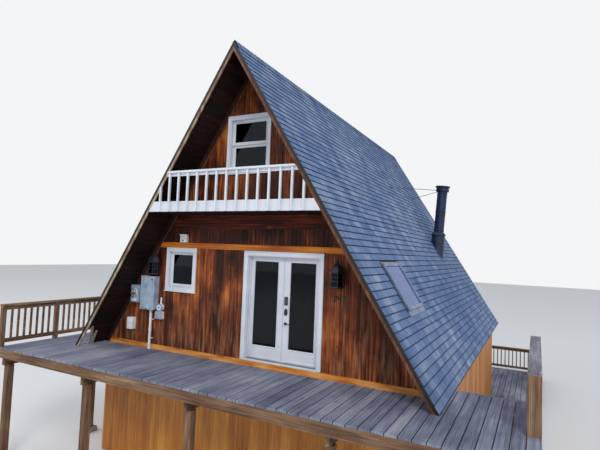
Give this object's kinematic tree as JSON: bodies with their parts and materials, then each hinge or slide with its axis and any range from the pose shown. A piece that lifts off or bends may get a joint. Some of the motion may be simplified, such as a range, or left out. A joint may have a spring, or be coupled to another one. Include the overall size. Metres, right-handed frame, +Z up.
{
  "type": "a-frame cabin",
  "caption": "Steep-roofed timber A-frame cabin on a raised deck, with French doors, a small balcony, a skylight and a stayed stove pipe.",
  "frame": {"origin": "underside of the ground floor slab, at the lowest ground, midway along the house and under the ridge", "axes": "+Z up, +X to the right seen from the front, +Y from the front gable to the rear, along the ridge"},
  "size_m": [10.67, 15.7755, 8.9911],
  "materials": {
    "concrete": "rough, cast",
    "honey_boards": "semi-gloss stain on vertical boards",
    "floor_boards": "matt, sawn",
    "siding": "satin stain, streaked along the boards",
    "shingles": "rough mineral granules on asphalt",
    "brown_trim": "satin stain",
    "edge_metal": "satin dark brown",
    "orange_trim": "satin stain",
    "white_paint": "semi-gloss",
    "glass": "polished",
    "skylight_metal": "satin blue-grey",
    "black_metal": "semi-matt, heat-proof",
    "lantern_metal": "satin",
    "white_plastic": "satin",
    "panel_paint": "satin",
    "meter_paint": "satin",
    "deck_boards": "weathered, matt",
    "deck_timber": "weathered, matt"
  },
  "bodies": {
    "house": {"ground_slab": "concrete", "lower_wall_right": "honey_boards", "lower_wall_left": "honey_boards", "lower_wall_front": "honey_boards", "lower_wall_rear": "honey_boards", "main_floor": "floor_boards", "loft_floor": "floor_boards", "front_wall_left": "siding", "front_wall_right": "siding", "front_wall_head": "siding", "front_gable_wall": "siding", "rear_wall": "siding", "roof_left": "shingles", "roof_right": "shingles", "ridge_cap": "shingles", "rake_boards": "brown_trim", "roof_edge_metal": "edge_metal", "eave_boards": "brown_trim", "wall_trim": "orange_trim", "eave_stub": "deck_timber", "door_frame": "white_paint", "window_frames": "white_paint", "window_glass": "glass", "skylight_frame": "skylight_metal", "skylight_glass": "glass", "stove_pipe": "black_metal", "pipe_cap": "black_metal", "pipe_flashing": "black_metal", "pipe_stays": "black_metal", "balcony_floor": "brown_trim", "balcony_rim_board": "white_paint", "balcony_railing": "white_paint", "wall_lanterns": "lantern_metal", "sensor_light": "white_plastic", "electrical_panel": "panel_paint", "meter_box": "meter_paint", "phone_box": "white_plastic", "conduit": "white_plastic", "main_deck": "deck_boards", "deck_joists": "deck_timber", "deck_beams": "deck_timber", "deck_posts": "deck_timber", "terrace_deck": "deck_boards", "terrace_sleepers": "deck_timber", "railing_right": "deck_timber", "railing_left": "deck_timber", "railing_terrace_right": "deck_timber", "railing_terrace_left": "deck_timber", "railing_terrace_rear": "deck_timber", "rail_posts": "deck_timber"},
    "left_door": {"door_leaf_left": "white_paint", "door_glass_left": "glass"},
    "right_door": {"door_leaf_right": "white_paint", "door_glass_right": "glass", "door_handle_set": "black_metal"}
  },
  "joints": [
    {"name": "left_door_hinge", "type": "hinge", "parent": "house", "child": "left_door", "pos_m": [0.075, -4.8, 3.66], "axis": [0, 0, 1], "range_deg": [0, 90]},
    {"name": "right_door_hinge", "type": "hinge", "parent": "house", "child": "right_door", "pos_m": [1.655, -4.8, 3.66], "axis": [0, 0, -1], "range_deg": [0, 90]}
  ]
}
